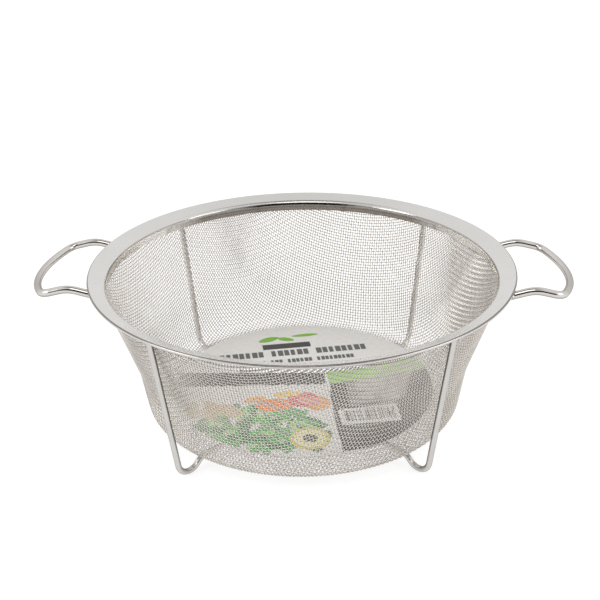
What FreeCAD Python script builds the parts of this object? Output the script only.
import FreeCAD, Part
import math
import os
import Sketcher

# A wide-rimmed wire-mesh colander: a pressed rim, a woven basket, two bent foot wires that
# cross under the basket, two wire handles and a paper disc lying on the basket's floor.
# Millimetres, +Z up. The origin is on the resting plane under the basket's centre, and the
# handles lie on the X axis.

os.makedirs("parts", exist_ok=True)

UP = FreeCAD.Vector(0, 0, 1)

SIZES = (
    # Rim: a dished flange with a folded hem outside and a short upright skirt inside.
    ("crest_height", "97.6"),
    ("rim_outer_radius", "127"),
    ("rim_slope", "20"),
    ("sheet_thickness", "0.7"),
    ("hem_thickness", "2"),
    ("hem_depth", "3"),
    ("skirt_inner_radius", "116.2"),
    ("skirt_bottom_height", "88.2"),
    ("corner_bend", "3"),
    # Band that traps the mesh against the skirt.
    ("band_bottom_height", "91"),
    ("band_top_height", "93.8"),
    ("band_thickness", "0.6"),
    # Basket: a shell as thick as the weave.
    ("fit_gap", "0.05"),
    ("mesh_thickness", "1"),
    ("collar_top_height", "93"),
    ("collar_bottom_height", "87.9"),
    ("collar_blend", "6"),
    ("collar_chamfer", "0.7"),
    ("kink_radius", "101.9"),
    ("kink_height", "40.6"),
    ("kink_blend", "60"),
    ("floor_radius", "96.9"),
    ("floor_height", "8.4"),
    ("floor_bend", "7"),
    # Foot wires.
    ("foot_wire_radius", "1.75"),
    ("foot_bend", "8.6"),
    ("foot_corner_radius", "105.9"),
    ("leg_lean", "8.6"),
    ("leg_top_height", "94"),
    ("return_rise", "39.9"),
    ("dip_flat_half", "12"),
    ("dip_end", "20"),
    ("wire_a_azimuth", "49.75"),
    ("wire_b_azimuth", "-45.75"),
    ("wire_a_shift", "-3"),
    ("wire_b_shift", "-2.5"),
    # Handles: each arm rises to a crest, then falls with the grip.
    ("handle_wire_radius", "2.25"),
    ("handle_half_gap", "36"),
    ("handle_start", "115"),
    ("handle_crest", "133.06"),
    ("handle_crest_height", "96.56"),
    ("handle_rise", "15.64"),
    ("handle_fall", "13.33"),
    ("handle_crest_bend", "20"),
    ("handle_reach", "26.1"),
    ("handle_bend", "8"),
    ("grip_bend", "66"),
    # Paper disc.
    ("card_radius", "82.5"),
    ("card_shift", "6.5"),
    ("card_thickness", "0.45"),
    # Sizes that follow from the ones above.
    ("skirt_outer_radius", "=skirt_inner_radius + sheet_thickness"),
    ("hem_half", "=hem_thickness / 2"),
    ("hem_centre_radius", "=rim_outer_radius - hem_half"),
    ("hem_centre_height", "=crest_height - hem_half"),
    ("along_radius", "=cos(rim_slope)"),
    ("along_height", "=sin(rim_slope)"),
    ("fold_reach", "=hem_depth - hem_half"),
    ("collar_outer_radius", "=skirt_outer_radius + fit_gap + mesh_thickness"),
    ("band_inner_radius", "=collar_outer_radius + fit_gap"),
    ("run_height", "=floor_height - fit_gap - foot_wire_radius"),
    ("dip_height", "=run_height - 2 * foot_wire_radius - fit_gap"),
    ("half_turn", "=(90 - return_rise + leg_lean) / 2"),
    ("turn_direction", "=135 - (return_rise + leg_lean) / 2"),
    ("turn_depth", "=foot_bend * (sin(turn_direction) / sin(half_turn) - 1)"),
    ("foot_corner_height", "=foot_wire_radius - turn_depth"),
    ("leg_top_radius", "=foot_corner_radius + (leg_top_height - foot_corner_height) * tan(leg_lean)"),
    ("return_end_radius", "=foot_corner_radius - (run_height - foot_corner_height) / tan(return_rise)"),
    ("card_bottom_height", "=floor_height + mesh_thickness + fit_gap"),
)


def fill_sheet(sheet):
    """Write every size with its name, one row each."""
    for row, (alias, value) in enumerate(SIZES, start=1):
        sheet.set(f"A{row}", alias)
        sheet.set(f"B{row}", value)
        sheet.setAlias(f"B{row}", alias)


def size(name):
    """The sheet's value under this name."""
    return float(dims.get(name))


def new_body(name):
    """An empty body whose label is the part's name."""
    body = doc.addObject("PartDesign::Body", name)
    body.Label = name
    return body


def plane_sketch(body, name, role):
    """A sketch lying on one of the body's own origin planes."""
    sketch = body.newObject("Sketcher::SketchObject", name)
    plane = next(item for item in body.Origin.OriginFeatures if item.Role == role)
    sketch.AttachmentSupport = (plane, "")
    sketch.MapMode = "FlatFace"
    return sketch


def hold_point(sketch, geometry, end, across, up):
    """Hold a point at two distances, each an expression on the sheet."""
    for kind, expression in (("DistanceX", across), ("DistanceY", up)):
        value = float(sketch.evalExpression(expression))
        index = sketch.addConstraint(Sketcher.Constraint(kind, -1, 1, geometry, end, value))
        sketch.setExpression(f"Constraints[{index}]", expression)


def spot(sketch, corner):
    """The place of a corner given by two expressions."""
    return FreeCAD.Vector(*(float(sketch.evalExpression(text)) for text in corner), 0)


def ring_body(name, corners):
    """Turn a closed outline, given as expressions for radius and height, about Z."""
    body = new_body(name)
    sketch = plane_sketch(body, f"{name}_outline", "XZ_Plane")
    spots = [spot(sketch, corner) for corner in corners]
    count = len(spots)
    for index, here in enumerate(spots):
        sketch.addGeometry(Part.LineSegment(here, spots[(index + 1) % count]))
    for index in range(count):
        following = (index + 1) % count
        sketch.addConstraint(Sketcher.Constraint("Coincident", index, 2, following, 1))
    for index, (across, up) in enumerate(corners):
        hold_point(sketch, index, 1, across, up)
    turn = body.newObject("PartDesign::Revolution", f"{name}_turn")
    turn.Profile = sketch
    turn.ReferenceAxis = (sketch, ["V_Axis"])
    turn.Angle = 360
    doc.recompute()
    return body


def ring_edges(shape, spots):
    """Names of the circular edges at these radii and heights."""
    names = []
    for index, edge in enumerate(shape.Edges, start=1):
        if not isinstance(edge.Curve, Part.Circle):
            continue
        here = (edge.Curve.Radius, edge.Curve.Center.z)
        if any(math.dist(here, wanted) < 0.01 for wanted in spots):
            names.append(f"Edge{index}")
    return names


def round_rings(body, kind, name, corners, radius):
    """Round or bevel the circular edges at these corners by a size on the sheet."""
    base = body.Tip
    spots = [tuple(float(dims.evalExpression(text)) for text in corner) for corner in corners]
    names = ring_edges(base.Shape, spots)
    if len(names) != len(corners):
        raise ValueError(f"{name}: {len(names)} edges found for {len(corners)} corners")
    feature = body.newObject(f"PartDesign::{kind}", name)
    feature.Base = (base, names)
    setting = "Radius" if kind == "Fillet" else "Size"
    feature.setExpression(setting, radius)
    doc.recompute()
    return feature


def along_flange(reach, lift):
    """Radius and height of a point measured along and square to the sloping flange."""
    across = f"dims.hem_centre_radius + ({reach}) * dims.along_radius - ({lift}) * dims.along_height"
    up = f"dims.hem_centre_height + ({reach}) * dims.along_height + ({lift}) * dims.along_radius"
    return across, up


def flange_height(radius, lift):
    """Height over a given radius of the line parallel to the flange at this lift."""
    climb = f"({radius} - dims.hem_centre_radius) * tan(dims.rim_slope)"
    return f"dims.hem_centre_height + {climb} + ({lift}) / dims.along_radius"


def make_rim():
    """Flange, folded hem and skirt, turned as one outline."""
    skirt_top = ("dims.skirt_inner_radius", flange_height("dims.skirt_inner_radius", "dims.hem_half"))
    sheet_lift = "dims.hem_half - dims.sheet_thickness"
    throat = ("dims.skirt_outer_radius", flange_height("dims.skirt_outer_radius", sheet_lift))
    fold_low = along_flange("-dims.fold_reach", "-dims.hem_half")
    hem_low = along_flange("dims.hem_half", "-dims.hem_half")
    hem_high = along_flange("dims.hem_half", "dims.hem_half")
    corners = (
        skirt_top,
        ("dims.skirt_inner_radius", "dims.skirt_bottom_height"),
        ("dims.skirt_outer_radius", "dims.skirt_bottom_height"),
        throat,
        along_flange("-dims.fold_reach", sheet_lift),
        fold_low,
        hem_low,
        hem_high,
    )
    body = ring_body("rim_flange", corners)
    round_rings(body, "Fillet", "corner_outside", [skirt_top], "dims.corner_bend")
    round_rings(body, "Fillet", "corner_inside", [throat], "dims.corner_bend - dims.sheet_thickness")
    round_rings(body, "Fillet", "hem_rounding", [hem_low, hem_high], "dims.hem_half * 0.95")
    round_rings(body, "Fillet", "fold_rounding", [fold_low], "dims.sheet_thickness / 2")
    return body


def make_band():
    """A plain ring round the top of the mesh."""
    outer = "dims.band_inner_radius + dims.band_thickness"
    corners = (
        ("dims.band_inner_radius", "dims.band_bottom_height"),
        (outer, "dims.band_bottom_height"),
        (outer, "dims.band_top_height"),
        ("dims.band_inner_radius", "dims.band_top_height"),
    )
    return ring_body("mesh_retaining_band", corners)


def make_basket():
    """A turned tub, rounded along its three bends and hollowed from the top."""
    collar_foot = ("dims.collar_outer_radius", "dims.collar_bottom_height")
    kink = ("dims.kink_radius", "dims.kink_height")
    floor_rim = ("dims.floor_radius", "dims.floor_height")
    corners = (
        ("0", "dims.floor_height"),
        floor_rim,
        kink,
        collar_foot,
        ("dims.collar_outer_radius", "dims.collar_top_height"),
        ("0", "dims.collar_top_height"),
    )
    body = ring_body("mesh_basket", corners)
    round_rings(body, "Fillet", "collar_rounding", [collar_foot], "dims.collar_blend")
    round_rings(body, "Fillet", "wall_rounding", [kink], "dims.kink_blend")
    round_rings(body, "Fillet", "floor_rounding", [floor_rim], "dims.floor_bend")
    tub = body.Tip
    lid = max(range(len(tub.Shape.Faces)), key=lambda index: tub.Shape.Faces[index].CenterOfMass.z)
    hollow = body.newObject("PartDesign::Thickness", "hollow")
    hollow.Base = (tub, [f"Face{lid + 1}"])
    hollow.setExpression("Value", "dims.mesh_thickness")
    hollow.Reversed = True
    doc.recompute()
    mouth = ("dims.collar_outer_radius - dims.mesh_thickness", "dims.collar_top_height")
    round_rings(body, "Chamfer", "mouth_bevel", [mouth], "dims.collar_chamfer")
    return body


def arc_between(before, corner, after, radius):
    """The arc of this radius that rounds a corner, as start, middle and end points."""
    back = (before - corner).normalize()
    ahead = (after - corner).normalize()
    half = back.getAngle(ahead) / 2
    reach = radius / math.tan(half)
    inward = (back + ahead).normalize()
    middle = corner + inward * (radius / math.sin(half) - radius)
    return corner + back * reach, middle, corner + ahead * reach


def path_sketch(body, name, corners, bend):
    """Straight runs through the corners, joined by tangent arcs of one bend radius."""
    sketch = plane_sketch(body, name, "XZ_Plane")
    spots = [spot(sketch, corner) for corner in corners]
    radius = float(sketch.evalExpression(bend))
    arcs = [
        arc_between(spots[index - 1], spots[index], spots[index + 1], radius)
        for index in range(1, len(spots) - 1)
    ]
    starts = [spots[0]] + [arc[2] for arc in arcs]
    ends = [arc[0] for arc in arcs] + [spots[-1]]
    runs = [sketch.addGeometry(Part.LineSegment(*pair)) for pair in zip(starts, ends)]
    for index, arc in enumerate(arcs):
        bow = sketch.addGeometry(Part.Arc(*arc))
        first = 1 if sketch.getPoint(bow, 1).distanceToPoint(arc[0]) < 1e-6 else 2
        sketch.addConstraint(Sketcher.Constraint("Tangent", runs[index], 2, bow, first))
        sketch.addConstraint(Sketcher.Constraint("Tangent", runs[index + 1], 1, bow, 3 - first))
        bound = sketch.addConstraint(Sketcher.Constraint("Radius", bow, radius))
        sketch.setExpression(f"Constraints[{bound}]", bend)
        mark = sketch.addGeometry(Part.Point(spots[index + 1]), True)
        hold_point(sketch, mark, 1, *corners[index + 1])
        for run in (runs[index], runs[index + 1]):
            sketch.addConstraint(Sketcher.Constraint("PointOnObject", mark, 1, run))
    hold_point(sketch, runs[0], 1, *corners[0])
    hold_point(sketch, runs[-1], 2, *corners[-1])
    return sketch


def make_base_wire(name, middle, azimuth, shift):
    """One foot wire: half of it swept from the middle outward, then mirrored.

    It runs at its azimuth, and its shift sets it a little to one side of the centre.
    """
    body = new_body(name)
    corners = middle + (
        ("dims.return_end_radius", "dims.run_height"),
        ("dims.foot_corner_radius", "dims.foot_corner_height"),
        ("dims.leg_top_radius", "dims.leg_top_height"),
    )
    path = path_sketch(body, f"{name}_path", corners, "dims.foot_bend")
    section = plane_sketch(body, f"{name}_section", "YZ_Plane")
    radius = size("foot_wire_radius")
    centre = FreeCAD.Vector(0, float(section.evalExpression(middle[0][1])), 0)
    circle = section.addGeometry(Part.Circle(centre, UP, radius))
    bound = section.addConstraint(Sketcher.Constraint("Radius", circle, radius))
    section.setExpression(f"Constraints[{bound}]", "dims.foot_wire_radius")
    hold_point(section, circle, 3, *middle[0])
    pipe = body.newObject("PartDesign::AdditivePipe", f"{name}_half")
    pipe.Profile = section
    pipe.Spine = (path, [])
    doc.recompute()
    both = body.newObject("PartDesign::Mirrored", f"{name}_both")
    both.Originals = [pipe]
    plane = next(item for item in body.Origin.OriginFeatures if item.Role == "YZ_Plane")
    both.MirrorPlane = (plane, [""])
    body.Tip = both
    turn = FreeCAD.Rotation(UP, size(azimuth))
    beside = turn.multVec(FreeCAD.Vector(0, size(shift), 0))
    body.Placement = FreeCAD.Placement(beside, turn)
    doc.recompute()
    return body


def handle_path():
    """Centreline of the handle on the +X side, from one end under the rim to the other."""
    rise = math.radians(size("handle_rise"))
    fall = math.radians(size("handle_fall"))
    half_gap = size("handle_half_gap")
    crest = FreeCAD.Vector(size("handle_crest"), half_gap, size("handle_crest_height"))
    inward = FreeCAD.Vector(-math.cos(rise), 0, -math.sin(rise))
    outward = FreeCAD.Vector(math.cos(fall), 0, -math.sin(fall))
    start = crest + inward * ((crest.x - size("handle_start")) / math.cos(rise))
    crest_arc = arc_between(start, crest, crest + outward, size("handle_crest_bend"))

    # The grip lies in the falling plane: reach along the slope, and Y across it.
    bend = size("handle_bend")
    grip = size("grip_bend")
    grip_centre = size("handle_reach") - grip
    bend_across = half_gap - bend
    bend_reach = grip_centre + math.sqrt((grip - bend) ** 2 - bend_across ** 2)
    swing = math.atan2(bend_across, bend_reach - grip_centre)
    half_way = (swing + math.pi / 2) / 2

    def on_slope(reach, across):
        return FreeCAD.Vector(crest.x, across, crest.z) + outward * reach

    bend_arc = (
        on_slope(bend_reach, half_gap),
        on_slope(bend_reach + bend * math.cos(half_way), bend_across + bend * math.sin(half_way)),
        on_slope(grip_centre + grip * math.cos(swing), grip * math.sin(swing)),
    )
    arm = [
        Part.LineSegment(start, crest_arc[0]).toShape(),
        Part.Arc(*crest_arc).toShape(),
        Part.LineSegment(crest_arc[2], bend_arc[0]).toShape(),
        Part.Arc(*bend_arc).toShape(),
    ]
    other_arm = [edge.mirror(FreeCAD.Vector(), FreeCAD.Vector(0, 1, 0)) for edge in reversed(arm)]
    far_end = FreeCAD.Vector(bend_arc[2].x, -bend_arc[2].y, bend_arc[2].z)
    grip_arc = Part.Arc(bend_arc[2], on_slope(size("handle_reach"), 0), far_end).toShape()
    return start, inward, Part.Wire(arm + [grip_arc] + other_arm)


def make_handle(name, turn):
    """One wire handle, swept along its centreline and turned to its side."""
    start, direction, path = handle_path()
    radius = size("handle_wire_radius")
    circle = Part.Wire(Part.Circle(start, direction, radius).toShape())
    solid = path.makePipeShell([circle], True, False)
    expected = math.pi * radius ** 2 * path.Length
    if abs(solid.Volume - expected) > 0.02 * expected:
        raise ValueError(f"{name}: volume {solid.Volume:.0f}, expected {expected:.0f}")
    feature = doc.addObject("Part::Feature", name)
    feature.Label = name
    feature.Shape = solid
    feature.Placement = FreeCAD.Placement(FreeCAD.Vector(), FreeCAD.Rotation(UP, turn))
    return feature


def make_card():
    """A paper disc lying on the basket's floor, slid towards the back."""
    body = new_body("label_card")
    sketch = plane_sketch(body, "card_outline", "XY_Plane")
    sketch.setExpression("AttachmentOffset.Base.z", "dims.card_bottom_height")
    centre = FreeCAD.Vector(0, size("card_shift"), 0)
    circle = sketch.addGeometry(Part.Circle(centre, UP, size("card_radius")))
    hold_point(sketch, circle, 3, "0", "dims.card_shift")
    bound = sketch.addConstraint(Sketcher.Constraint("Radius", circle, size("card_radius")))
    sketch.setExpression(f"Constraints[{bound}]", "dims.card_radius")
    pad = body.newObject("PartDesign::Pad", "card_pad")
    pad.Profile = sketch
    pad.setExpression("Length", "dims.card_thickness")
    return body


doc = FreeCAD.newDocument("mesh_colander")
dims = doc.addObject("Spreadsheet::Sheet", "dims")
fill_sheet(dims)
doc.recompute()

LEVEL_RUN = (("0", "dims.run_height"),)
DIPPED_RUN = (
    ("0", "dims.dip_height"),
    ("dims.dip_flat_half", "dims.dip_height"),
    ("dims.dip_end", "dims.run_height"),
)

nodes = (
    make_rim(),
    make_band(),
    make_basket(),
    make_base_wire("base_wire_a", LEVEL_RUN, "wire_a_azimuth", "wire_a_shift"),
    make_base_wire("base_wire_b", DIPPED_RUN, "wire_b_azimuth", "wire_b_shift"),
    make_handle("handle_right", 0),
    make_handle("handle_left", 180),
    make_card(),
)
doc.recompute()

for item in doc.Objects:
    if "Invalid" in item.State or "Error" in item.State:
        raise ValueError(f"{item.Name}: {item.State}")
for node in nodes:
    shape = node.Shape
    if shape.isNull() or not shape.isValid():
        raise ValueError(f"{node.Label}: bad shape")
    print(node.Label, round(shape.Volume), len(shape.Solids), len(shape.Faces), shape.BoundBox)
    shape.exportStep(f"parts/{node.Label}.step")
